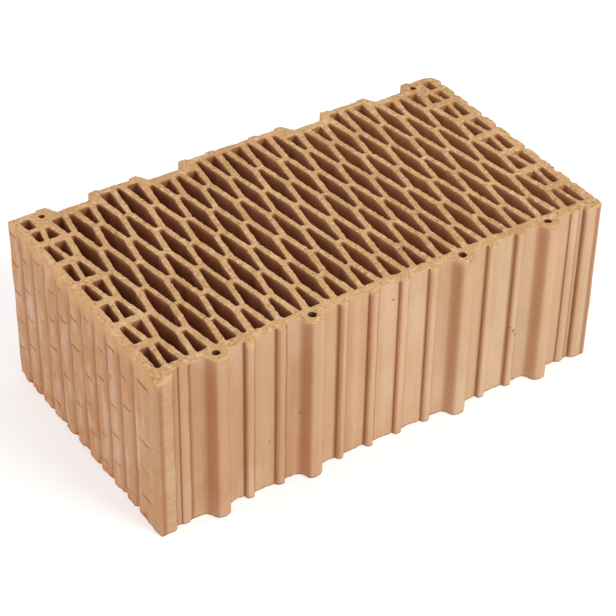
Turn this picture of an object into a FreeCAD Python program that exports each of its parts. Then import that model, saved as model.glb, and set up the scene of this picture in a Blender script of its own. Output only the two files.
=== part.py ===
"""Hollow clay block: one piece of fired clay, pressed through a die and cut to height with wires.

Each kind of cell, rib, tongue and recess has a sketch of its own, dimensioned from the sheet. The section
lays them out as the die does: ribs and tongues join the slug, recesses and grooves are taken out of it, and
every cell is an opening in it. The block is that section drawn out to its height.

Frame in millimetres: origin in the middle of the bottom face, +X along the length, which is the thickness of
the wall that is built with the block, +Y from the tongues to the recesses, +Z up along the cells.
"""
import FreeCAD
import Part
import Sketcher
import math
import os

SIZES = [
    # Overall size of the format, over the ribs and lands that meet the next block.
    ("length", "440"),
    ("width", "248"),
    ("height", "165"),
    # Outer walls: ends, tongue side and recess side, each from the face to the cells behind it.
    ("end_wall", "8.7"),
    ("front_wall", "8.5"),
    ("back_wall", "8"),
    # Lattice of rhombic cells: clay between two side corners, and between two tips, of like cells.
    ("side_web", "13.2"),
    ("tip_web", "4"),
    ("tip_flat", "3.8"),
    ("end_margin", "10.6"),
    ("front_trim", "1"),
    ("back_trim", "4.7"),
    # Cells cut off square by a wall or by a cross web, and the cells beside the end walls.
    ("cut_cell_base", "10.6"),
    ("corner_cut", "0.8"),
    ("cross_web", "7.3"),
    ("outer_cell_wide", "8.6"),
    ("outer_cell_narrow", "5.8"),
    ("corner_cell_length", "14"),
    ("corner_web", "4.5"),
    # Ribs and tongues of the front side, and the pads at its corners.
    ("corner_margin", "12.1"),
    ("rib_height", "4.5"),
    ("rib_width", "8.5"),
    ("low_rib_height", "2.2"),
    ("pad_width", "17"),
    ("tongue_root", "20"),
    ("tongue_tip", "15"),
    ("tongue_round", "3"),
    ("tongue_clearance", "3.5"),
    ("profile_round", "1.2"),
    # Recesses and low ribs of the back side.
    ("recess_depth", "11"),
    ("recess_mouth", "41.5"),
    ("recess_floor", "30.5"),
    ("land_rib_height", "2"),
    ("land_rib_width", "9"),
    # Plaster grooves of the two ends, evenly spaced between the outermost two.
    ("groove_width", "8"),
    ("groove_depth", "2.6"),
    ("groove_back_margin", "20.2"),
    ("groove_front_margin", "39.7"),
    # Small round cores in the tongues and in the back corners.
    ("tongue_core", "6.2"),
    ("corner_core", "5"),
    ("corner_core_inset", "28"),
]
COLUMNS = 15          # cells in a full row
ROWS = 3              # cells in a full column
PLASTER_GROOVES = 10  # on each end
FRONT_PLACES = 14     # evenly spaced places along the front, counted from its middle
TONGUES = (-5.5, -2.5, 2.5, 5.5)
RIBS = (-4.5, -3.5, -1.5, -0.5, 0.5, 1.5, 3.5, 4.5)
LOW_RIBS = (-6.5, 6.5)
LAND_RIBS = (-0.75, 0.75)

doc = FreeCAD.newDocument("hollow_clay_block")
sheet = doc.addObject("Spreadsheet::Sheet", "Sizes")
for row, (alias, number) in enumerate(SIZES, start=1):
    sheet.set(f"A{row}", alias)
    sheet.set(f"B{row}", number)
    sheet.setAlias(f"B{row}", alias)
doc.recompute()

# Sizes and places that several outlines share, as expressions on the sheet.
END_FACE = "(Sizes.length / 2)"
CONTACT = "(-Sizes.width / 2)"
FRONT_FACE = f"({CONTACT} + Sizes.rib_height)"
FRONT_CELLS = f"({FRONT_FACE} + Sizes.front_wall)"
LAND_TOP = "(Sizes.width / 2)"
LAND_FACE = f"({LAND_TOP} - Sizes.land_rib_height)"
LAND_CELLS = f"({LAND_TOP} - Sizes.back_wall)"
RECESS_FACE = f"({LAND_TOP} - Sizes.recess_depth)"
RECESS_CELLS = f"({RECESS_FACE} - Sizes.back_wall)"
CORNER_FRONT = f"({LAND_CELLS} - Sizes.corner_cell_length)"
TONGUE_REACH = "(Sizes.recess_depth - Sizes.tongue_clearance)"
HALF_COLUMN = f"((Sizes.length - 2 * Sizes.end_margin) / {2 * COLUMNS + 2})"
HALF_ROW = f"(({RECESS_CELLS} + Sizes.back_trim - {FRONT_CELLS} + Sizes.front_trim) / {2 * ROWS + 1})"
CELL_HALF_WIDTH = f"({HALF_COLUMN} - Sizes.side_web / 2)"
CELL_HALF_LENGTH = f"({HALF_ROW} - Sizes.tip_web / 2)"
PLACE_PITCH = f"((Sizes.length - 2 * Sizes.corner_margin) / {FRONT_PLACES})"
GROOVE_SPAN = "(Sizes.width - Sizes.groove_back_margin - Sizes.groove_front_margin)"
GROOVE_PITCH = f"({GROOVE_SPAN} / {PLASTER_GROOVES - 1})"
ROUND = "Sizes.profile_round"
TONGUE_ROUND = "Sizes.tongue_round"
CUT = "Sizes.corner_cut"


def line_of(j):
    """Expression for the Y of a lattice line: 0 runs through the middles of the first full row of cells."""
    return f"({FRONT_CELLS} - Sizes.front_trim + {j + 1} * {HALF_ROW})"


def size_of(expression):
    """An expression's value in millimetres; None is zero."""
    return 0.0 if expression is None else float(sheet.evalExpression(expression))


def both_sides(halves):
    """An outline about the Y axis, anticlockwise, from its right half given front to back."""
    return halves + [(f"-({x})", y) for x, y in reversed(halves)]


class Outline:
    """A sketch of one closed outline on the XY plane, with every dimension bound to the sheet."""

    def __init__(self, name):
        self.sketch = doc.addObject("Sketcher::SketchObject", name)

    def dimension(self, kind, elements, expression):
        """Add a dimension and bind it to its expression."""
        index = self.sketch.addConstraint(Sketcher.Constraint(kind, *elements, size_of(expression)))
        self.sketch.setExpression(f"Constraints[{index}]", expression)

    def fix_point(self, curve, end, x, y):
        """Dimension a curve's start (1) or centre (3) from the origin, or put it on an axis (None)."""
        for kind, axis, expression in (("DistanceX", -2, x), ("DistanceY", -1, y)):
            if expression is None:
                self.sketch.addConstraint(Sketcher.Constraint("PointOnObject", curve, end, axis))
            else:
                self.dimension(kind, (-1, 1, curve, end), expression)

    def sharp(self, corners):
        """Straight sides from corner to corner."""
        points = [FreeCAD.Vector(size_of(x), size_of(y), 0) for x, y in corners]
        ends = points[1:] + points[:1]
        lines = [self.sketch.addGeometry(Part.LineSegment(start, end)) for start, end in zip(points, ends)]
        for k, (x, y) in enumerate(corners):
            self.sketch.addConstraint(Sketcher.Constraint("Coincident", lines[k - 1], 2, lines[k], 1))
            self.fix_point(lines[k], 1, x, y)
        return self.sketch

    def rounded(self, centres, bend):
        """Flanks tangent to rounds of the radius given, whose centres go round anticlockwise."""
        radius = size_of(bend)
        points = [FreeCAD.Vector(size_of(x), size_of(y), 0) for x, y in centres]
        ends = points[1:] + points[:1]
        along = [(end - start).normalize() for start, end in zip(points, ends)]
        outward = [FreeCAD.Vector(step.y, -step.x, 0) * radius for step in along]
        lines = []
        arcs = []
        for start, end, offset in zip(points, ends, outward):
            lines.append(self.sketch.addGeometry(Part.LineSegment(start + offset, end + offset)))
        for k, point in enumerate(points):
            circle = Part.Circle(point, FreeCAD.Vector(0, 0, 1), radius)
            first = math.atan2(outward[k - 1].y, outward[k - 1].x)
            last = first + along[k - 1].getAngle(along[k])
            arcs.append(self.sketch.addGeometry(Part.ArcOfCircle(circle, first, last)))
        for k, (x, y) in enumerate(centres):
            self.sketch.addConstraint(Sketcher.Constraint("Tangent", lines[k - 1], 2, arcs[k], 1))
            self.sketch.addConstraint(Sketcher.Constraint("Tangent", arcs[k], 2, lines[k], 1))
            self.fix_point(arcs[k], 3, x, y)
            self.dimension("Radius", (arcs[k],), bend)
        return self.sketch

    def circle(self, diameter):
        """A circle about the origin."""
        start = Part.Circle(FreeCAD.Vector(0, 0, 0), FreeCAD.Vector(0, 0, 1), size_of(diameter) / 2)
        curve = self.sketch.addGeometry(start)
        self.sketch.addConstraint(Sketcher.Constraint("Coincident", curve, 3, -1, 1))
        self.dimension("Diameter", (curve,), diameter)
        return self.sketch


def strip(name, width, front, back):
    """A rectangle with rounded corners about the Y axis."""
    half = f"{width} / 2 - {ROUND}"
    centres = both_sides([(half, f"{front} + {ROUND}"), (half, f"{back} - {ROUND}")])
    return Outline(name).rounded(centres, ROUND)


def flared(name, narrow, narrow_y, wide, wide_y, bend):
    """A form about the Y axis with slanted flanks, which run on past its wide end as far again."""
    near = (f"{narrow} / 2 - {bend}", f"{narrow_y} + {bend}")
    far = (f"{wide} - {narrow} / 2 - {bend}", f"2 * {wide_y} - {narrow_y} - {bend}")
    return Outline(name).rounded(both_sides([near, far]), bend)


def full_cell(name, back_tip):
    """A rhombic cell with blunt tips about the origin; its back tip may be cut short or drawn out."""
    return Outline(name).sharp([
        (CELL_HALF_WIDTH, None),
        ("Sizes.tip_flat / 2", back_tip),
        ("-Sizes.tip_flat / 2", back_tip),
        (f"-{CELL_HALF_WIDTH}", None),
        ("-Sizes.tip_flat / 2", f"-{CELL_HALF_LENGTH}"),
        ("Sizes.tip_flat / 2", f"-{CELL_HALF_LENGTH}"),
    ])


def cut_cell(name, length):
    """A cell with its square base on the X axis, blunted at the corners, and its tip behind it."""
    return Outline(name).sharp([
        (f"Sizes.cut_cell_base / 2 - {CUT}", None),
        ("Sizes.cut_cell_base / 2", CUT),
        ("Sizes.tip_flat / 2", length),
        ("-Sizes.tip_flat / 2", length),
        ("-Sizes.cut_cell_base / 2", CUT),
        (f"{CUT} - Sizes.cut_cell_base / 2", None),
    ])


def outer_cell(name, length, front_width, back_width):
    """A cell from the X axis back, blunted at its corners, straight along the end wall on the Y axis."""
    return Outline(name).sharp([
        (CUT, None),
        (f"{front_width} - {CUT}", None),
        (front_width, CUT),
        (back_width, f"{length} - {CUT}"),
        (f"{back_width} - {CUT}", length),
        (CUT, length),
        (None, f"{length} - {CUT}"),
        (None, CUT),
    ])


# Slug: the plain rectangle with the front and back faces that the ribs stand on.
slug = Outline("Slug").sharp([
    (f"-{END_FACE}", FRONT_FACE),
    (END_FACE, FRONT_FACE),
    (END_FACE, LAND_FACE),
    (f"-{END_FACE}", LAND_FACE),
])

# Front side: ribs and pads stand out to the contact line and tongues past it. They run back into the slug.
rib = strip("Rib", "Sizes.rib_width", CONTACT, FRONT_CELLS)
low_rib = strip("LowRib", "Sizes.rib_width", f"({FRONT_FACE} - Sizes.low_rib_height)", FRONT_CELLS)
corner_pad = strip("CornerPad", "Sizes.pad_width", CONTACT, FRONT_CELLS)
TONGUE_FRONT = f"({CONTACT} - {TONGUE_REACH})"
tongue = flared("Tongue", "Sizes.tongue_tip", TONGUE_FRONT, "Sizes.tongue_root", FRONT_FACE, TONGUE_ROUND)

# Back side: each recess is cut through a broad low rib, which is left along both its edges. Two more low
# ribs stand on the middle land.
recess_rib = strip("RecessRib", "(Sizes.recess_mouth + 2 * Sizes.land_rib_width)", RECESS_FACE, LAND_TOP)
land_rib = strip("LandRib", "Sizes.land_rib_width", RECESS_FACE, LAND_TOP)
recess = flared("Recess", "Sizes.recess_floor", RECESS_FACE, "Sizes.recess_mouth", LAND_TOP, ROUND)

# Ends: a plaster groove is a V across the end face on the Y axis, drawn as deep outside the face as inside.
groove = Outline("PlasterGroove").sharp([
    (None, "-Sizes.groove_width / 2"),
    ("Sizes.groove_depth", None),
    (None, "Sizes.groove_width / 2"),
    ("-Sizes.groove_depth", None),
])

# Cells of the lattice. The back wall stands further in behind a recess than behind a land.
LAST_LINE = 2 * ROWS - 1
middle_cell = full_cell("MiddleCell", CELL_HALF_LENGTH)
recess_cell = full_cell("RecessCell", f"({RECESS_CELLS} - {line_of(LAST_LINE)})")
land_cell = full_cell("LandCell", f"({LAND_CELLS} - {line_of(LAST_LINE)})")
front_half_cell = cut_cell("FrontHalfCell", f"({CELL_HALF_LENGTH} - Sizes.front_trim)")
recess_half_cell = cut_cell("RecessHalfCell", f"({CELL_HALF_LENGTH} - Sizes.back_trim)")
land_half_cell = cut_cell("LandHalfCell", f"({CELL_HALF_LENGTH} - Sizes.back_trim + Sizes.recess_depth)")

# Cells of the ends, in zones parted by cross webs at each lattice line: a column of cut cells beside a
# column of cells along the end wall. The front, back and middle zones differ in length.
NARROW = "Sizes.outer_cell_narrow"
WIDE = "Sizes.outer_cell_wide"
FRONT_ZONE = f"({HALF_ROW} - Sizes.front_trim - Sizes.cross_web / 2)"
MIDDLE_ZONE = f"({HALF_ROW} - Sizes.cross_web)"
BACK_ZONE = f"({CORNER_FRONT} - Sizes.corner_web - {line_of(LAST_LINE)} - Sizes.cross_web / 2)"
front_end_cell = cut_cell("FrontEndCell", FRONT_ZONE)
middle_end_cell = cut_cell("MiddleEndCell", MIDDLE_ZONE)
back_end_cell = cut_cell("BackEndCell", BACK_ZONE)
front_outer_cell = outer_cell("FrontOuterCell", FRONT_ZONE, NARROW, WIDE)
middle_outer_cell = outer_cell("MiddleOuterCell", MIDDLE_ZONE, NARROW, WIDE)
back_outer_cell = outer_cell("BackOuterCell", BACK_ZONE, NARROW, WIDE)
corner_cell = outer_cell("CornerCell", "Sizes.corner_cell_length", WIDE, WIDE)

# Small round cores.
tongue_core = Outline("TongueCore").circle("Sizes.tongue_core")
corner_core = Outline("CornerCore").circle("Sizes.corner_core")
doc.recompute()


def lay(outline, places, to_front=False, to_left=False):
    """Copies of an outline with its origin at the places, reflected to face the other way if need be."""
    wire = outline.Shape.Wires[0]
    if to_front:
        wire = wire.mirror(FreeCAD.Vector(0, 0, 0), FreeCAD.Vector(0, 1, 0))
    if to_left:
        wire = wire.mirror(FreeCAD.Vector(0, 0, 0), FreeCAD.Vector(1, 0, 0))
    return [wire.translated(FreeCAD.Vector(x, y, 0)) for x, y in places]


# Outer outline: what stands on the slug, then what is taken out of it.
end_face = size_of(END_FACE)
place_pitch = size_of(PLACE_PITCH)
tongues = [k * place_pitch for k in TONGUES]
pad_middle = end_face - size_of("Sizes.pad_width / 2")
first_groove = size_of(f"{CONTACT} + Sizes.groove_front_margin")
groove_lines = [first_groove + k * size_of(GROOVE_PITCH) for k in range(PLASTER_GROOVES)]
standing = lay(rib, [(k * place_pitch, 0) for k in RIBS])
standing += lay(low_rib, [(k * place_pitch, 0) for k in LOW_RIBS])
standing += lay(corner_pad, [(-pad_middle, 0), (pad_middle, 0)])
standing += lay(tongue, [(x, 0) for x in tongues])
standing += lay(recess_rib, [(x, 0) for x in tongues])
standing += lay(land_rib, [(k * place_pitch, 0) for k in LAND_RIBS])
taken_out = lay(recess, [(x, 0) for x in tongues])
taken_out += lay(groove, [(x, y) for x in (-end_face, end_face) for y in groove_lines])
body = Part.Face(slug.Shape.Wires[0]).fuse([Part.Face(wire) for wire in standing])
body = body.cut([Part.Face(wire) for wire in taken_out]).removeSplitter()

# Lattice: full cells in rows, those of every other row moved half a column, and half cells along the walls.
half_column = size_of(HALF_COLUMN)
columns = [i * half_column for i in range(1 - COLUMNS, COLUMNS, 2)]
staggered = [i * half_column for i in range(2 - COLUMNS, COLUMNS - 1, 2)]
lines = [size_of(line_of(j)) for j in range(2 * ROWS)]
openings = lay(middle_cell, [(x, y) for x in columns for y in lines[0::2]])
openings += lay(middle_cell, [(x, y) for x in staggered for y in lines[1:-1:2]])
openings += lay(front_half_cell, [(x, size_of(FRONT_CELLS)) for x in staggered])
recess_reach = size_of("Sizes.recess_mouth / 2 + Sizes.cut_cell_base / 2")
behind_recess = {x for x in columns + staggered if min(abs(x - middle) for middle in tongues) < recess_reach}
for x in staggered:
    openings += lay(recess_cell if x in behind_recess else land_cell, [(x, lines[-1])])
for x in columns:
    if x in behind_recess:
        openings += lay(recess_half_cell, [(x, size_of(RECESS_CELLS))], to_front=True)
    else:
        openings += lay(land_half_cell, [(x, size_of(LAND_CELLS))], to_front=True)

# Ends: the cells of every other zone face the front. Those of the right end are a reflection of the left's.
end_column = COLUMNS * half_column
outer_side = end_face - size_of("Sizes.end_wall")
half_web = size_of("Sizes.cross_web / 2")
zone_fronts = [size_of(FRONT_CELLS)] + [y + half_web for y in lines]
zone_backs = [y - half_web for y in lines] + [size_of(f"{CORNER_FRONT} - Sizes.corner_web")]
end_cells = [front_end_cell] + [middle_end_cell] * LAST_LINE + [back_end_cell]
outer_cells = [front_outer_cell] + [middle_outer_cell] * LAST_LINE + [back_outer_cell]
for zone, (front, back) in enumerate(zip(zone_fronts, zone_backs)):
    to_front = zone % 2 == 1
    y = back if to_front else front
    openings += lay(end_cells[zone], [(-end_column, y), (end_column, y)], to_front)
    openings += lay(outer_cells[zone], [(-outer_side, y)], to_front)
    openings += lay(outer_cells[zone], [(outer_side, y)], to_front, to_left=True)
openings += lay(corner_cell, [(-outer_side, size_of(CORNER_FRONT))])
openings += lay(corner_cell, [(outer_side, size_of(CORNER_FRONT))], to_left=True)

# Cores: one in each tongue, on the line of the front face, and one in the back wall near each corner.
core_x = end_face - size_of("Sizes.corner_core_inset")
core_y = size_of(f"{LAND_CELLS} - Sizes.corner_core / 2")
openings += lay(tongue_core, [(x, size_of(FRONT_FACE)) for x in tongues])
openings += lay(corner_core, [(-core_x, core_y), (core_x, core_y)])

# The section has too many openings for pockets and patterns, so its face is made of the outlines themselves.
section = doc.addObject("Part::Feature", "Section")
section.Shape = Part.makeFace([body.Faces[0].OuterWire] + openings, "Part::FaceMakerBullseye")
section.Placement = FreeCAD.Placement()

# The block, moved so that its tongues and its lands lie equally far from the middle.
block = doc.addObject("Part::Extrusion", "Block")
block.Label = "clay_block"
block.Base = section
block.DirMode = "Custom"
block.Dir = FreeCAD.Vector(0, 0, 1)
block.Solid = True
block.setExpression("LengthFwd", "Sizes.height")
block.setExpression("Placement.Base.y", f"{TONGUE_REACH} / 2")

doc.recompute()
for item in doc.Objects:
    if "Invalid" in item.State or "Error" in item.State:
        raise RuntimeError(f"{item.Label} failed: {item.State}")
if len(body.Faces) != 1 or len(body.Faces[0].Wires) != 1:
    raise RuntimeError("the outline of the section is not one closed line")
if block.Shape.isNull() or not block.Shape.isValid() or len(block.Shape.Solids) != 1:
    raise RuntimeError("clay_block is not one valid solid")
os.makedirs("parts", exist_ok=True)
block.Shape.exportStep(f"parts/{block.Label}.step")
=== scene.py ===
import math

import bpy
import numpy as np
from mathutils import Matrix, Vector
from mathutils.geometry import delaunay_2d_cdt


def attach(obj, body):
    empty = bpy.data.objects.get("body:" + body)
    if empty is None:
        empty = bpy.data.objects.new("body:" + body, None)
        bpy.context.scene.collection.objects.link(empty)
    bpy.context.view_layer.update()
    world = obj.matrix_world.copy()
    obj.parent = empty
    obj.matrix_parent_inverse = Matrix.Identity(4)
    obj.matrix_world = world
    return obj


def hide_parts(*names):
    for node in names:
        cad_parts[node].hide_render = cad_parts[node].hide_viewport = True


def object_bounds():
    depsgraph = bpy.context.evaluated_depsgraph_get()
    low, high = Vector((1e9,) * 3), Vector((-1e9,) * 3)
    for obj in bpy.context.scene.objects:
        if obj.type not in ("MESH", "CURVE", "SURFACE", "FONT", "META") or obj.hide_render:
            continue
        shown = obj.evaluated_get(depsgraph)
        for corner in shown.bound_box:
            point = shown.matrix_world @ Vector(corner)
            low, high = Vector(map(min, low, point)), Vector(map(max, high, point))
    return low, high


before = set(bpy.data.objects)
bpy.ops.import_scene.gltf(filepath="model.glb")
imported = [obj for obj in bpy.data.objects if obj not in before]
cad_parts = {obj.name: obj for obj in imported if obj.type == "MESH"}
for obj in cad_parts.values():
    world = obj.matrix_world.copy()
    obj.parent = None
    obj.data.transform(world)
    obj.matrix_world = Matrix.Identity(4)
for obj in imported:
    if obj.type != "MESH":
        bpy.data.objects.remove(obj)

cad_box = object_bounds()

# The block: one piece of fired clay, pressed through a die as an endless column and cut to height by wires.
# The pressed sides carry the die's streaks, both cut faces are torn and granular, and the kiln has left the
# clay yellow where it was cut and pinker where the die smoothed it.
height = cad_box[1][2]
end_face = cad_box[1][0]


def section_lines(mesh):
    """Border lines of the mesh's top face, each an array of XY points with the clay on its left."""
    mesh.calc_loop_triangles()
    coords = np.empty(3 * len(mesh.vertices))
    mesh.vertices.foreach_get("co", coords)
    corners = np.empty(3 * len(mesh.loop_triangles), dtype=np.int64)
    mesh.loop_triangles.foreach_get("vertices", corners)
    points, place = np.unique(np.round(coords.reshape(-1, 3), 6), axis=0, return_inverse=True)
    triangles = place.reshape(-1)[corners].reshape(-1, 3)
    triangles = triangles[np.all(points[triangles, 2] > height - 1e-5, axis=1)]
    a, b, c = (points[triangles[:, k], :2] for k in range(3))
    clockwise = (b[:, 0] - a[:, 0]) * (c[:, 1] - a[:, 1]) < (b[:, 1] - a[:, 1]) * (c[:, 0] - a[:, 0])
    triangles[clockwise] = triangles[clockwise][:, ::-1]
    # An edge is on the border if no neighbour runs along it the other way.
    edges = np.concatenate([triangles[:, [0, 1]], triangles[:, [1, 2]], triangles[:, [2, 0]]])
    count = len(points)
    border = edges[~np.isin(edges[:, 0] * count + edges[:, 1], edges[:, 1] * count + edges[:, 0])]
    # A line's head is its lowest index, and a point's rank counts the steps to its line's last point.
    every = np.arange(count)
    following = every.copy()
    following[border[:, 0]] = border[:, 1]
    doublings = int(math.ceil(math.log2(count))) + 1
    head = every.copy()
    jump = following.copy()
    for _ in range(doublings):
        head = np.minimum(head, head[jump])
        jump = jump[jump]
    jump = np.where(following == head, every, following)
    rank = (jump != every).astype(np.int64)
    for _ in range(doublings):
        rank = rank + rank[jump]
        jump = jump[jump]
    used = np.unique(border)
    used = used[np.lexsort((-rank[used], head[used]))]
    return [points[members, :2] for members in np.split(used, np.nonzero(np.diff(head[used]))[0] + 1)]


def resample(line, spacing, bend=1e9):
    """The closed line with its points evenly spread: one for each spacing along it and each bend turned."""
    ahead = np.roll(line, -1, axis=0) - line
    heading = np.arctan2(ahead[:, 1], ahead[:, 0])
    turn = np.abs((heading - np.roll(heading, 1) + math.pi) % (2.0 * math.pi) - math.pi)
    share_of_points = np.hypot(ahead[:, 0], ahead[:, 1]) / spacing + 0.5 * (turn + np.roll(turn, -1)) / bend
    along = np.concatenate([[0.0], np.cumsum(share_of_points)])
    count = max(10, int(round(along[-1])))
    at = np.arange(count) * along[-1] / count
    closed = np.concatenate([line, line[:1]])
    return np.stack([np.interp(at, along, closed[:, 0]), np.interp(at, along, closed[:, 1])], axis=1)


def soften(line, spacing, reach):
    """The closed line with rounded corners: each point is the bell-weighted mean of its neighbourhood."""
    turns = np.fft.fftfreq(len(line), d=spacing)
    weight = np.exp(-2.0 * (math.pi * turns * reach) ** 2)
    return np.fft.ifft(np.fft.fft(line, axis=0) * weight[:, None], axis=0).real


def outward(line):
    """Unit normals, pointing out of the clay, of a closed line that has the clay on its left."""
    run = np.roll(line, -1, axis=0) - np.roll(line, 1, axis=0)
    normal = np.stack([run[:, 1], -run[:, 0]], axis=1)
    return normal / np.linalg.norm(normal, axis=1, keepdims=True)


def waves(points, size, seed, count=40):
    """Smooth noise of unit spread: the sum of plane waves about one size long, in random directions."""
    draw = np.random.default_rng(seed)
    heading = draw.normal(size=(points.shape[-1], count))
    heading *= draw.uniform(0.6, 1.4, count) / (np.linalg.norm(heading, axis=0) * size)
    phase = draw.uniform(0.0, 2.0 * math.pi, count)
    return np.sin(2.0 * math.pi * points @ heading + phase).sum(axis=-1) * math.sqrt(2.0 / count)


def share(value, full):
    """The value as a share of its full size, held between 0 and 1."""
    return np.clip(value / full, 0.0, 1.0)


fine = 0.0005
lines = [resample(line, fine) for line in section_lines(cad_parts["clay_block"].data)]
lines.sort(key=lambda line: -np.ptp(line[:, 0]))

# Outer line: the tongues flow out of the front with a broad round, its ribs are worn round on top and keen
# at the root, and everything else has small rounds.
outer = lines[0]
tongues = np.array([-0.16335, -0.07425, 0.07425, 0.16335])
tongue_reach = 0.018
front_zone = -0.100
blend = 0.004
keen_round = 0.0008
worn_round = 0.0024
broad_round = 0.0032
root_reach = 0.003
root_depth = 0.0007
keen = soften(outer, fine, keen_round)
hollow = ((soften(outer, fine, root_reach) - keen) * outward(keen)).sum(axis=1)
root = share(hollow, root_depth)[:, None]
gap = np.abs(outer[:, :1] - tongues).min(axis=1)
in_front = (outer[:, 1] < front_zone) * share(end_face - blend - np.abs(outer[:, 0]), blend)
broad = (share(tongue_reach - gap, blend) * in_front)[:, None]
worn = (in_front[:, None] - broad) * (1.0 - root)
smooth = (
    soften(outer, fine, broad_round) * broad
    + soften(outer, fine, worn_round) * worn
    + keen * (1.0 - broad - worn)
)
outline_step = 0.0034
outline_bend = math.radians(28.0)
outline = resample(smooth, outline_step, outline_bend)
outline_normal = outward(outline)

# What the outer line passes: inner corners, told by how far it bends in radians a metre, flanks of ribs,
# tongues and recesses, the tops of the front's ribs, and the two ends with their grooves. Inner corners,
# flanks and the ends' groove floors get painted shade.
nearest = np.argmin(np.abs(outline[:, None, 0] - smooth[None, ::2, 0])
                    + np.abs(outline[:, None, 1] - smooth[None, ::2, 1]), axis=1) * 2
bend = np.gradient(np.unwrap(np.arctan2(*outward(keen).T)), fine)
least_bend = 110.0
bend_span = 280.0
corner_shade = share(bend[nearest] - least_bend, bend_span) * (1.0 - broad[nearest, 0])
from_middle = np.abs(outline[:, 0])
# Flanks get painted shade, by how far they face along X.
painted_flank_shade = share(np.abs(outline_normal[:, 0]) - 0.35, 0.4) * (from_middle < end_face - blend)
rib_foot = -0.1170
rib_crest = -0.1215
rib_top = share(rib_foot - outline[:, 1], 0.0015) * (outline[:, 1] > rib_crest)
end_depth = 0.006
groove_depth = 0.0024
in_end = from_middle > end_face - end_depth
at_end = in_end & (np.abs(outline_normal[:, 0]) > 0.5)
groove = share(end_face - from_middle, groove_depth)
corner_shade = np.where(in_end, 0.95 * groove ** 3, corner_shade)

# Cell lines: each cell is pressed a little out of place and out of true. Its corners are rounded by a tenth
# of its girth at most.
draw = np.random.default_rng(5)
cell_round = 0.0010
cell_stretch = 0.012
cell_shift = 0.00022
cell_wave = 0.00012
cell_step = 0.0027
cell_bend = math.radians(34.0)
cells = []
for line in lines[1:]:
    middle = line.mean(axis=0)
    line = soften(line, fine, min(cell_round, 0.1 * fine * len(line)))
    line = middle + (line - middle) * draw.normal(1.0, cell_stretch, 2) + draw.normal(0.0, cell_shift, 2)
    cells.append(resample(line, cell_step, cell_bend))
cell_line = np.concatenate(cells)
cell_normal = np.concatenate([outward(cell) for cell in cells])
cell_line = cell_line + cell_normal * (cell_wave * waves(cell_line, 0.018, 1))[:, None]

# Heights of the skin's rows. Nicks cross the ribs of both ends at two sets of heights, used by turns.
nick_pitch = 0.0300
nick_half_width = 0.0013
nick_rows = np.stack([0.0146 + nick_pitch * np.arange(5), 0.0295 + nick_pitch * np.arange(5)])
levels = np.concatenate([
    [0.0, 0.0008, 0.0026, 0.0065, 0.1565, 0.1600, 0.1625, 0.1640, height],
    (nick_rows[:, :, None] + np.array([-nick_half_width, 0.0, nick_half_width])).ravel(),
])
levels.sort()
cell_levels = np.array([0.0, 0.0016, 0.1633, height])


def wall(line, heights):
    """Grid of points over a line and a row of heights, as (heights, line, XYZ)."""
    grid = np.empty((len(heights), len(line), 3))
    grid[:, :, :2] = line
    grid[:, :, 2] = heights[:, None]
    return grid


def strips(start, rows, line_starts, line_sizes):
    """Quads between neighbouring rows of closed lines that are stored row by row from an index on."""
    size = int(sum(line_sizes))
    here = np.arange(size)
    ahead = here + 1
    ahead[np.asarray(line_starts) + np.asarray(line_sizes) - 1] = line_starts
    low = start + size * np.arange(rows - 1)[:, None]
    return np.stack([low + here, low + ahead, low + size + ahead, low + size + here], axis=-1).reshape(-1, 4)


skin = wall(outline, levels)
inner = wall(cell_line, cell_levels)

# The wire has dragged clay down over the left end, further at the back, so that its grooves run out below
# the top edge.
left_end = outline[:, 0] < end_depth - end_face
drag_in_front = 0.013
drag_growth = 0.030
drag_unevenness = 0.0020
groove_fill = 0.8
unfilled = 0.0005
drag_length = drag_in_front + drag_growth * (outline[:, 1] + 0.12)
drag_length += drag_unevenness * waves(outline, 0.015, 8)
drag = left_end * share(1.0 - (height - levels[:, None]) / drag_length, 1.0)
drag = np.minimum(1.6 * drag, 1.0)
skin[:, :, 0] -= groove_fill * drag * np.maximum(outline[:, 0] + end_face - unfilled, 0.0)

# Skin relief: streaks along the press direction, a slow unevenness, and the nicks, whose rows climb to the
# back.
nick_climb = 0.046
rim_width = 0.012
rim = share(np.minimum(levels, height - levels), rim_width)
skin[:, :, 2] += rim[:, None] * np.where(at_end, nick_climb, 0.0) * outline[:, 1]
press = 0.00010 * waves(outline, 0.0035, 2) + 0.00012 * waves(outline, 0.010, 3)
skin_margin = 0.00034
inward = skin_margin - press[None, :] - 0.00016 * waves(skin * [1.0, 1.0, 0.5], 0.020, 4)
first_rib = -0.08055
rib_pitch = 0.0209
pad_middle = -0.0985
pad_nick = 0.0095
rib_nick = 0.0066
nick_depth = 0.0020
rib_place = (outline[:, 1] - first_rib) / rib_pitch
rib = np.floor(rib_place).astype(int)
on_pad = rib < 0
across = np.where(on_pad, np.abs(outline[:, 1] - pad_middle), np.abs(rib_place - rib - 0.5) * rib_pitch)
nick_span = at_end * share(np.where(on_pad, pad_nick, rib_nick) - across, 0.0018)
nick_set = np.where(on_pad, 1, rib % 2)
nick_dent_and_shade = np.zeros(skin.shape[:2])
for turn in (0, 1):
    row = np.isclose(levels[:, None], nick_rows[turn]).any(axis=1)
    nick_dent_and_shade += row[:, None] * nick_span * (nick_set == turn)
nick_dent_and_shade *= np.clip(0.60 + 0.45 * waves(skin, 0.03, 5), 0.12, 1.0)
inward += nick_depth * nick_dent_and_shade

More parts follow.
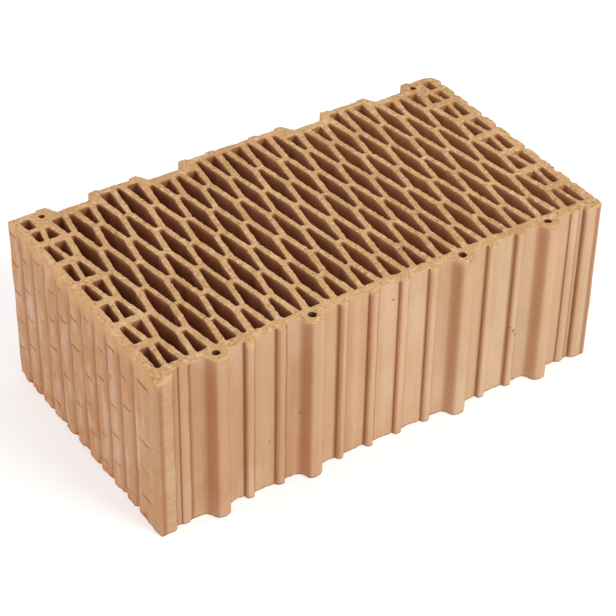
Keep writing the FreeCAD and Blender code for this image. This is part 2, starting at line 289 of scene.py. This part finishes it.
# Torn arrises: the skin crumbles back along the top edge, and the foot is chipped, most of all at the ends.
# Both die out away from the edge as a power of e.
crumb_reach = 0.0020
crumb_depth = 0.00032
chip_reach = 0.0030
chip_depth = 0.00130
edge = np.exp(-(height - levels) / crumb_reach)[:, None]
foot = np.exp(-levels / chip_reach)[:, None]
crumbs = np.clip(waves(skin, 0.014, 6) + 0.9 * waves(skin, 0.0065, 7) - 0.3, 0.0, 2.6)
chips = np.clip(waves(skin, 0.012, 41) + 0.6 * waves(skin, 0.0050, 42) - 0.1, 0.0, 2.4)
chips *= np.where(at_end, 1.0, 0.35)
inward += crumb_depth * edge * crumbs + chip_depth * foot * chips
skin[:, :, :2] -= np.maximum(inward, 0.0)[:, :, None] * outline_normal

# Cell walls: ragged lips where the wire came through.
lip_reach = 0.0009
lip_depth = 0.00008
lip = np.exp(-np.minimum(cell_levels, height - cell_levels) / lip_reach)[:, None]
ragged = lip_depth * lip * (waves(inner, 0.0090, 9) + 1.2 * waves(inner, 0.0052, 10))
inner[:, :, :2] += ragged[:, :, None] * cell_normal

# The wire has torn the small cores' mouths open.
sizes = np.array([len(outline)] + [len(cell) for cell in cells])
core_limit = 0.0075
mouth_depth = 0.0007
mouth_reach = 0.05
core = np.repeat([np.ptp(cell, axis=0).max() < core_limit for cell in cells], sizes[1:])
mouth = np.exp(-(height - cell_levels) / mouth_reach)[:, None] * core
inner[:, :, :2] -= mouth_depth * mouth[:, :, None] * cell_normal
in_core = np.zeros((len(cell_levels), len(cell_line)))
in_core[:-1] = core

# Cut faces: scattered points between the lines, so that the torn surface can stand up and down.
starts = np.concatenate([[0], np.cumsum(sizes)[:-1]])
step = 0.0024
columns, rows = np.meshgrid(np.arange(-end_face, end_face, step),
                            np.arange(cad_box[0][1], cad_box[1][1], step * 0.866))
columns = columns + (np.arange(len(rows)) % 2 * 0.5 * step)[:, None]
scatter = np.stack([columns, rows], axis=-1).reshape(-1, 2)
scatter += draw.uniform(-0.3, 0.3, scatter.shape) * step


def in_clay(points, start, end):
    """Whether each point is in the clay: a ray from it along +X crosses the border an odd number of times.

    The points go in parts, so that the table of rays and border edges stays small.
    """
    rise = end[:, 1] - start[:, 1]
    slope = (end[:, 0] - start[:, 0]) / np.where(rise == 0.0, 1.0, rise)
    found = []
    for part in np.array_split(points, 1 + len(points) // 1500):
        x = part[:, :1]
        y = part[:, 1:]
        spans = (start[:, 1] > y) != (end[:, 1] > y)
        found.append((spans & (start[:, 0] + (y - start[:, 1]) * slope > x)).sum(axis=1) % 2 == 1)
    return np.concatenate(found)


def cut_face(border):
    """Triangles of the clay between the border lines, and the scattered points that they also use."""
    here = np.arange(len(border))
    ahead = here + 1
    ahead[starts + sizes - 1] = starts
    start = border
    end = border[ahead]
    # Scattered points that share a small square with a border line are left out.
    close = 0.0011
    low = np.array(cad_box[0][:2]) - 0.01
    taken = np.zeros((1024, 1024), dtype=bool)
    for part in (0.0, 0.25, 0.5, 0.75):
        key = ((start + part * (end - start) - low) / close).astype(int)
        taken[key[:, 0], key[:, 1]] = True
    key = ((scatter - low) / close).astype(int)
    free = scatter[~taken[key[:, 0], key[:, 1]]]
    free = free[in_clay(free, start, end)]
    points = np.concatenate([border, free])
    found = delaunay_2d_cdt([Vector(point) for point in points.tolist()],
                            np.stack([here, ahead], axis=1).tolist(), [], 1, 1e-8, True)
    place = np.array([origins[0] for origins in found[3]])
    faces = place[np.array(found[2])]
    # Only a triangle with all its corners on one line can lie in a cell or outside.
    owner = np.concatenate([np.repeat(np.arange(len(sizes)), sizes), np.arange(len(free)) + len(sizes)])
    doubtful = (owner[faces[:, 0]] == owner[faces[:, 1]]) & (owner[faces[:, 1]] == owner[faces[:, 2]])
    keep = np.ones(len(faces), dtype=bool)
    keep[doubtful] = in_clay(points[faces[doubtful]].mean(axis=1), start, end)
    return faces[keep], free


cut_faces, free_points = cut_face(np.concatenate([outline, cell_line]))
torn_mean = 0.00030
worn_lip = 0.00075
top_seed = 11
bottom_seed = 21


def torn(points, seed):
    """Depth of a wire-cut face below its plane: a granular roughness with scattered deeper pits."""
    grain = 0.00020 * waves(points, 0.0058, seed) + 0.00016 * waves(points, 0.0034, seed + 1)
    pits = 0.0008 * np.clip(waves(points, 0.0065, seed + 2) - 1.5, 0.0, 1.5)
    return np.maximum(torn_mean + grain + pits, 0.0)


skin[-1, :, 2] -= torn(skin[-1, :, :2], top_seed) + worn_lip
inner[-1, :, 2] -= torn(inner[-1, :, :2], top_seed) + worn_lip
skin[0, :, 2] += np.maximum(torn(skin[0, :, :2], bottom_seed) - torn_mean, 0.0)
inner[0, :, 2] += torn(inner[0, :, :2], bottom_seed)
top_points = np.column_stack([free_points, height - torn(free_points, top_seed)])
bottom_points = np.column_stack([free_points, torn(free_points, bottom_seed)])

# One mesh: skin, cell walls, top face, bottom face, joined along the cut edges.
skin_count = skin.shape[0] * skin.shape[1]
inner_count = inner.shape[0] * inner.shape[1]
vertices = np.concatenate([skin.reshape(-1, 3), inner.reshape(-1, 3), top_points, bottom_points])
last_skin = skin_count - len(outline)
last_inner = skin_count + inner_count - len(cell_line)
top_index = np.concatenate([
    last_skin + np.arange(len(outline)),
    last_inner + np.arange(len(cell_line)),
    skin_count + inner_count + np.arange(len(top_points)),
])
bottom_index = np.concatenate([
    np.arange(len(outline)),
    skin_count + np.arange(len(cell_line)),
    skin_count + inner_count + len(top_points) + np.arange(len(bottom_points)),
])
skin_quads = strips(0, len(levels), [0], [len(outline)])
inner_quads = strips(skin_count, len(cell_levels), starts[1:] - len(outline), sizes[1:])
up = top_index[cut_faces]
down = bottom_index[cut_faces][:, ::-1]

# Breaks: what stands past a rough plane across an edge has come off, at three corners and on the tongues'
# tops. Each has its corner, the way its plane faces, its depth and how red it is. The foot of the ends is
# red as well.
broken = np.zeros(len(vertices))
singed = 0.8 - levels[:, None] / 0.010 + 0.6 * waves(skin, 0.013, 43)
broken[:skin_count] = (share(singed, 1.0) * at_end).ravel()
breaks = [
    ((-0.2200, -0.1202, 0.1650), (-0.62, -0.45, 0.64), 0.0052, 1.0),
    ((0.2200, 0.1277, 0.1650), (0.55, 0.50, 0.67), 0.0060, 1.0),
    ((-0.2200, 0.1277, 0.0), (-0.60, 0.45, -0.66), 0.0035, 1.0),
]
breaks += [((x, -0.1277, 0.1650), (0.0, -0.8, 0.6), 0.0028, 0.0) for x in tongues]
break_reach = 0.03
for corner, facing, depth, redness in breaks:
    facing = np.array(facing) / np.linalg.norm(facing)
    within = np.linalg.norm(vertices - corner, axis=1) < break_reach
    past = (vertices - corner) @ facing + depth + 0.0007 * waves(vertices, 0.006, 31)
    past = np.maximum(past, 0.0) * within
    vertices -= past[:, None] * facing
    broken = np.maximum(broken, redness * share(past, 0.0010))

mesh = bpy.data.meshes.new("clay_block_fired")
faces = np.concatenate([skin_quads.ravel(), inner_quads.ravel(), up.ravel(), down.ravel()])
quads = len(skin_quads) + len(inner_quads)
triangles = len(up) + len(down)
mesh.vertices.add(len(vertices))
mesh.vertices.foreach_set("co", vertices.ravel())
mesh.loops.add(len(faces))
mesh.loops.foreach_set("vertex_index", faces.astype(np.int32))
mesh.polygons.add(quads + triangles)
first = np.concatenate([4 * np.arange(quads), 4 * quads + 3 * np.arange(triangles)])
mesh.polygons.foreach_set("loop_start", first.astype(np.int32))
kind = np.repeat([0, 1, 2], [len(skin_quads), len(inner_quads), triangles])
mesh.polygons.foreach_set("material_index", kind.astype(np.int32))
mesh.polygons.foreach_set("use_smooth", np.ones(quads + triangles, dtype=bool))
mesh.update(calc_edges=True)
mesh.set_sharp_from_angle(angle=math.radians(38.0))


def store(name, values, start=0):
    """Keep the values on the mesh, one for each vertex from an index on, with 0 on all other vertices."""
    every = np.zeros(len(vertices), dtype=np.float32)
    every[start:start + values.size] = values.ravel()
    mesh.attributes.new(name, "FLOAT", "POINT").data.foreach_set("value", every)


store("corner_shade", corner_shade * (1.0 - drag))
store("drag", drag)
store("rib_top", np.tile(rib_top, len(levels)))
store("painted_flank_shade", np.tile(painted_flank_shade, len(levels)))
store("nick_dent_and_shade", nick_dent_and_shade)
store("broken", broken)
store("core", in_core, skin_count)
mesh.validate()
block = bpy.data.objects.new("clay_block_fired", mesh)
bpy.context.scene.collection.objects.link(block)


def clay_grain():
    """Shader group: the grain, specks and clouds that every face of the fired clay shares."""
    group = bpy.data.node_groups.new("clay_grain", "ShaderNodeTree")
    group.interface.new_socket("Vector", in_out="INPUT", socket_type="NodeSocketVector")
    for name in ("Grain", "Speck", "Cloud"):
        group.interface.new_socket(name, in_out="OUTPUT", socket_type="NodeSocketFloat")
    nodes = group.nodes
    links = group.links
    given = nodes.new("NodeGroupInput")
    result = nodes.new("NodeGroupOutput")
    for name, scale, detail, low, high in [
        ("Grain", 700.0, 4.0, 0.30, 0.70),
        ("Speck", 420.0, 2.0, 0.58, 0.72),
        ("Cloud", 22.0, 4.0, 0.36, 0.66),
    ]:
        noise = nodes.new("ShaderNodeTexNoise")
        noise.inputs["Scale"].default_value = scale
        noise.inputs["Detail"].default_value = detail
        links.new(given.outputs["Vector"], noise.inputs["Vector"])
        spread = nodes.new("ShaderNodeMapRange")
        spread.inputs["From Min"].default_value = low
        spread.inputs["From Max"].default_value = high
        links.new(noise.outputs["Fac"], spread.inputs["Value"])
        links.new(spread.outputs["Result"], result.inputs[name])
    return group


grain_group = clay_grain()


class Clay:
    """A clay material: two body colours by clouds, specks, a bump from the grain, and tints laid on it."""

    def __init__(self, name, dark, pale, speck, bump):
        self.material = bpy.data.materials.new(name)
        self.material.use_nodes = True
        self.nodes = self.material.node_tree.nodes
        self.links = self.material.node_tree.links
        self.shader = self.nodes["Principled BSDF"]
        self.shader.inputs["Roughness"].default_value = 0.92
        self.shader.inputs["Specular IOR Level"].default_value = 0.25
        self.where = self.nodes.new("ShaderNodeTexCoord").outputs["Object"]
        self.grain = self.nodes.new("ShaderNodeGroup")
        self.grain.node_tree = grain_group
        self.links.new(self.where, self.grain.inputs["Vector"])
        self.relief = self.nodes.new("ShaderNodeBump")
        self.relief.inputs["Strength"].default_value = bump
        self.relief.inputs["Distance"].default_value = 0.0006
        self.links.new(self.grain.outputs["Grain"], self.relief.inputs["Height"])
        self.links.new(self.relief.outputs["Normal"], self.shader.inputs["Normal"])
        axes = self.nodes.new("ShaderNodeSeparateXYZ")
        self.links.new(self.where, axes.inputs["Vector"])
        self.x, self.y, self.z = axes.outputs
        self.colour = self.mixed(self.grain.outputs["Cloud"], dark, pale)
        self.tint(self.grain.outputs["Speck"], 0.5, speck)

    def mixed(self, factor, first, second):
        """Colour mixed from two colours or sockets by a socket's value."""
        node = self.nodes.new("ShaderNodeMix")
        node.data_type = "RGBA"
        self.links.new(factor, node.inputs["Factor"])
        for socket, value in ((node.inputs["A"], first), (node.inputs["B"], second)):
            if isinstance(value, tuple):
                socket.default_value = (*value, 1.0)
            else:
                self.links.new(value, socket)
        return node.outputs["Result"]

    def maths(self, operation, first, second):
        """A sum, product or the like of a socket and a number or socket."""
        node = self.nodes.new("ShaderNodeMath")
        node.operation = operation
        self.links.new(first, node.inputs[0])
        if isinstance(second, float):
            node.inputs[1].default_value = second
        else:
            self.links.new(second, node.inputs[1])
        return node.outputs["Value"]

    def times(self, first, second):
        """The product of a socket and a number or socket."""
        return self.maths("MULTIPLY", first, second)

    def ramp(self, socket, low, high):
        """0 to 1 as the socket's value goes from low to high, or 1 to 0 if high is the lower number."""
        node = self.nodes.new("ShaderNodeMapRange")
        node.inputs["From Min"].default_value = low
        node.inputs["From Max"].default_value = high
        self.links.new(socket, node.inputs["Value"])
        return node.outputs["Result"]

    def noise(self, scale, detail, stretch=(1.0, 1.0, 1.0)):
        """Noise over the object's coordinates, each first multiplied by its stretch."""
        mapping = self.nodes.new("ShaderNodeMapping")
        mapping.inputs["Scale"].default_value = stretch
        self.links.new(self.where, mapping.inputs["Vector"])
        node = self.nodes.new("ShaderNodeTexNoise")
        node.inputs["Scale"].default_value = scale
        node.inputs["Detail"].default_value = detail
        self.links.new(mapping.outputs["Vector"], node.inputs["Vector"])
        return node.outputs["Fac"]

    def streaks(self, scale, detail, slowness, low, high):
        """0 to 1 as noise goes from low to high; a slowness below 1 draws the noise out along Z."""
        return self.ramp(self.noise(scale, detail, (1.0, 1.0, slowness)), low, high)

    def attribute(self, name):
        """A value stored on the mesh."""
        node = self.nodes.new("ShaderNodeAttribute")
        node.attribute_name = name
        return node.outputs["Fac"]

    def tint(self, factor, amount, colour):
        """Lay a colour on by a socket's value times an amount."""
        self.colour = self.mixed(self.times(factor, amount), self.colour, colour)

    def finish(self):
        """Join the colour to the shader and give the material to the block."""
        self.links.new(self.colour, self.shader.inputs["Base Color"])
        mesh.materials.append(self.material)


# Pressed skin. The front's left pad has fine cross ripples, and stones that dropped out have left a few
# small pits in the front, painted as dark spots of shade. A crumbly band in the colour of the cut face runs
# along the top edge, and hangs lower on some ribs. Painted light is laid on as well: the front paler to the
# right and darker to the left, painted shade on flanks, inner corners, groove floors and nicks, and a thin
# darker line along the foot. The tints are laid on in the order of the list.
clay = Clay(
    "pressed_clay",
    dark=(0.50, 0.255, 0.130),
    pale=(0.58, 0.325, 0.178),
    speck=(0.46, 0.20, 0.09),
    bump=0.25,
)
from_centre = clay.maths("ABSOLUTE", clay.x, 0.0)
on_ends = clay.ramp(from_centre, end_face - 0.0066, end_face - 0.0058)
past_grooves = clay.ramp(from_centre, end_face - 0.0036, end_face - 0.0020)
frost = clay.times(clay.streaks(110.0, 3.0, 0.25, 0.50, 0.62), past_grooves)
front_only = clay.ramp(clay.y, -0.100, -0.105)
left_pad = clay.times(clay.ramp(clay.x, -0.199, -0.204), front_only)
ripples = clay.times(clay.ramp(clay.noise(300.0, 2.0, (0.12, 0.12, 1.0)), 0.46, 0.60), left_pad)
drag_lumps = clay.times(clay.streaks(170.0, 3.0, 1.0, 0.50, 0.62), clay.attribute("drag"))
char = clay.times(clay.streaks(140.0, 3.0, 1.0, 0.50, 0.60), clay.attribute("broken"))
border = clay.times(clay.noise(130.0, 5.0), 0.018)
hanging = clay.times(clay.streaks(45.0, 1.0, 1.0, 0.46, 0.58), 0.006)
border = clay.maths("ADD", border, clay.times(hanging, clay.attribute("rib_top")))
band = clay.ramp(clay.maths("ADD", clay.z, border), height + 0.0068, height + 0.0086)
flat = clay.nodes.new("ShaderNodeCombineXYZ")
clay.links.new(clay.x, flat.inputs["X"])
clay.links.new(clay.z, flat.inputs["Z"])
pits = []
for x, z, size in [
    (-0.155, 0.095, 0.0018), (-0.085, 0.068, 0.0014), (0.005, 0.146, 0.0016), (-0.114, 0.049, 0.0013),
    (-0.068, 0.036, 0.0014), (0.081, 0.087, 0.0015), (0.048, 0.029, 0.0013), (-0.187, 0.117, 0.0012),
    (0.133, 0.062, 0.0022), (0.136, 0.057, 0.0020), (0.130, 0.066, 0.0012),
]:
    away = clay.nodes.new("ShaderNodeVectorMath")
    away.operation = "DISTANCE"
    away.inputs[1].default_value = (x, 0.0, z)
    clay.links.new(flat.outputs["Vector"], away.inputs[0])
    pits.append(clay.times(clay.ramp(away.outputs["Value"], size, 0.5 * size), front_only))
pale_streaks = clay.streaks(170.0, 3.0, 0.02, 0.42, 0.64)
red_lines = clay.streaks(460.0, 2.0, 0.006, 0.56, 0.68)
red_streaks = clay.streaks(55.0, 2.0, 0.04, 0.58, 0.70)
pink_bands = clay.streaks(34.0, 2.0, 0.05, 0.50, 0.62)
yellow_bands = clay.streaks(30.0, 2.0, 0.10, 0.50, 0.40)
bloom = clay.streaks(20.0, 5.0, 0.40, 0.52, 0.64)
painted_light_to_right = clay.ramp(clay.x, -0.17, 0.12)
painted_shade_to_left = clay.ramp(clay.x, -0.03, -0.13)
foot_darkening = clay.ramp(clay.z, 0.0022, 0.0006)
for factor, amount, colour in [
    (pale_streaks, 0.50, (0.61, 0.40, 0.26)),
    (red_lines, 0.35, (0.42, 0.18, 0.085)),
    (red_streaks, 0.40, (0.45, 0.19, 0.09)),
    # painted light and shade: the front grows paler to the right and darker to the left, as the lamp's light
    # would fall
    (painted_light_to_right, 0.60, (0.545, 0.400, 0.250)),
    (painted_shade_to_left, 0.42, (0.40, 0.215, 0.115)),
    (pink_bands, 0.30, (0.60, 0.31, 0.18)),
    (yellow_bands, 0.30, (0.52, 0.36, 0.19)),
    (bloom, 0.45, (0.63, 0.445, 0.325)),
    (on_ends, 0.45, (0.49, 0.235, 0.105)),
    (frost, 0.28, (0.66, 0.51, 0.42)),
    (left_pad, 0.40, (0.46, 0.27, 0.135)),
    (ripples, 0.30, (0.40, 0.20, 0.09)),
    (clay.attribute("drag"), 0.55, (0.60, 0.345, 0.160)),
    (drag_lumps, 0.55, (0.60, 0.27, 0.12)),
    # painted shade on the flanks of ribs, tongues and recesses
    (clay.attribute("painted_flank_shade"), 0.42, (0.46, 0.165, 0.055)),
    (clay.attribute("corner_shade"), 0.70, (0.27, 0.10, 0.035)),
    # painted shade in the nicks
    (clay.attribute("nick_dent_and_shade"), 0.92, (0.20, 0.08, 0.04)),
    (clay.attribute("broken"), 0.85, (0.62, 0.23, 0.065)),
    (char, 0.75, (0.26, 0.085, 0.04)),
    # painted shade in the pits
    *[(pit_shade, 0.7, (0.20, 0.10, 0.05)) for pit_shade in pits],
    (band, 0.85, (0.62, 0.38, 0.17)),
    # a thin darker line along the foot
    (foot_darkening, 0.55, (0.27, 0.125, 0.06)),
]:
    clay.tint(factor, amount, colour)
clay.finish()

# Cell walls: dark red, made paler to the right by painted light, paler at the lip partly from clay that the
# wire smeared there and partly from painted light, and darkened almost to black in the small cores.
clay = Clay(
    "cell_clay",
    dark=(0.33, 0.120, 0.050),
    pale=(0.39, 0.155, 0.072),
    speck=(0.26, 0.09, 0.040),
    bump=0.3,
)
painted_light_to_right = clay.ramp(clay.x, -0.10, 0.18)
lip_smear_and_light = clay.ramp(clay.z, height - 0.0042, height - 0.0008)
# painted light: the walls grow paler to the right, as if more light reached them there
clay.tint(painted_light_to_right, 0.85, (0.54, 0.265, 0.125))
# paler lip: partly clay that the wire smeared there, partly painted light on the top of the walls
clay.tint(lip_smear_and_light, 0.55, (0.62, 0.36, 0.165))
# darkened almost to black in the small cores
clay.tint(clay.attribute("core"), 0.8, (0.10, 0.045, 0.022))
clay.finish()

# Cut faces: yellow and granular, with dark hollows and pale grains.
clay = Clay(
    "cut_clay",
    dark=(0.61, 0.345, 0.150),
    pale=(0.73, 0.435, 0.207),
    speck=(0.92, 0.66, 0.42),
    bump=1.0,
)
hollows = clay.streaks(280.0, 3.0, 1.0, 0.44, 0.32)
pale_grains = clay.streaks(240.0, 3.0, 1.0, 0.54, 0.68)
clay.tint(hollows, 0.65, (0.34, 0.165, 0.06))
clay.tint(pale_grains, 0.65, (0.88, 0.62, 0.38))
clay.tint(clay.attribute("broken"), 0.6, (0.58, 0.24, 0.09))
clay.finish()

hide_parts("clay_block")
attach(block, "root")

# The studio: a plain pale floor under an even white sky, a broad soft lamp to the right in front, and one
# to the left behind the line of the front, which lights the left end only.
floor_half = 60
floor_level = -0.0002
floor_mesh = bpy.data.meshes.new("studio_floor")
floor_signs = [(-1, -1), (1, -1), (1, 1), (-1, 1)]
floor_corners = [(x * floor_half, y * floor_half, floor_level) for x, y in floor_signs]
floor_mesh.from_pydata(floor_corners, [], [(0, 1, 2, 3)])
floor = bpy.data.objects.new("studio_floor", floor_mesh)
bpy.context.scene.collection.objects.link(floor)
paint = bpy.data.materials.new("floor_paint")
paint.use_nodes = True
paint_inputs = paint.node_tree.nodes["Principled BSDF"].inputs
paint_inputs["Base Color"].default_value = (0.66, 0.66, 0.66, 1.0)
paint_inputs["Roughness"].default_value = 0.9
paint_inputs["Emission Color"].default_value = (1.0, 1.0, 1.0, 1.0)
paint_inputs["Emission Strength"].default_value = 0.46
floor_mesh.materials.append(paint)
sky = bpy.data.worlds.new("studio_sky")
sky.use_nodes = True
sky.node_tree.nodes["Background"].inputs["Color"].default_value = (1.0, 1.0, 1.0, 1.0)
sky.node_tree.nodes["Background"].inputs["Strength"].default_value = 0.66
bpy.context.scene.world = sky
aim = Vector((0.0, 0.0, 0.08))
for name, size, power, place in [
    ("right_lamp", 1.5, 70.0, (1.1, -2.6, 2.4)),
    ("left_lamp", 1.1, 10.0, (-1.9, 0.75, 0.7)),
]:
    lamp_data = bpy.data.lights.new(name, "AREA")
    lamp_data.size = size
    lamp_data.energy = power
    lamp = bpy.data.objects.new(name, lamp_data)
    lamp.location = place
    lamp.rotation_euler = (aim - lamp.location).to_track_quat("-Z", "Y").to_euler()
    bpy.context.scene.collection.objects.link(lamp)
bpy.context.scene.view_settings.view_transform = "Standard"

# The camera: where the photograph was taken from, found from the lattice of cells and the upright edges.
# Its back points away from what it sees, turned about Z from -Y, and lifted.
turn = math.radians(-34.129)
lift = math.radians(37.773)
roll = math.radians(1.036)
eye = (-0.78250, -1.15433, 1.14456)
back = Vector((math.sin(turn) * math.cos(lift), -math.cos(turn) * math.cos(lift), math.sin(lift)))
level = (-back).cross(Vector((0.0, 0.0, 1.0))).normalized()
above = level.cross(-back)
right = math.cos(roll) * level + math.sin(roll) * above
above = -math.sin(roll) * level + math.cos(roll) * above
camera_data = bpy.data.cameras.new("camera")
camera_data.sensor_width = 36.0
camera_data.lens = 118.17
camera = bpy.data.objects.new("camera", camera_data)
camera.matrix_world = Matrix.Translation(eye) @ Matrix((right, above, back)).transposed().to_4x4()
bpy.context.scene.collection.objects.link(camera)
bpy.context.scene.camera = camera
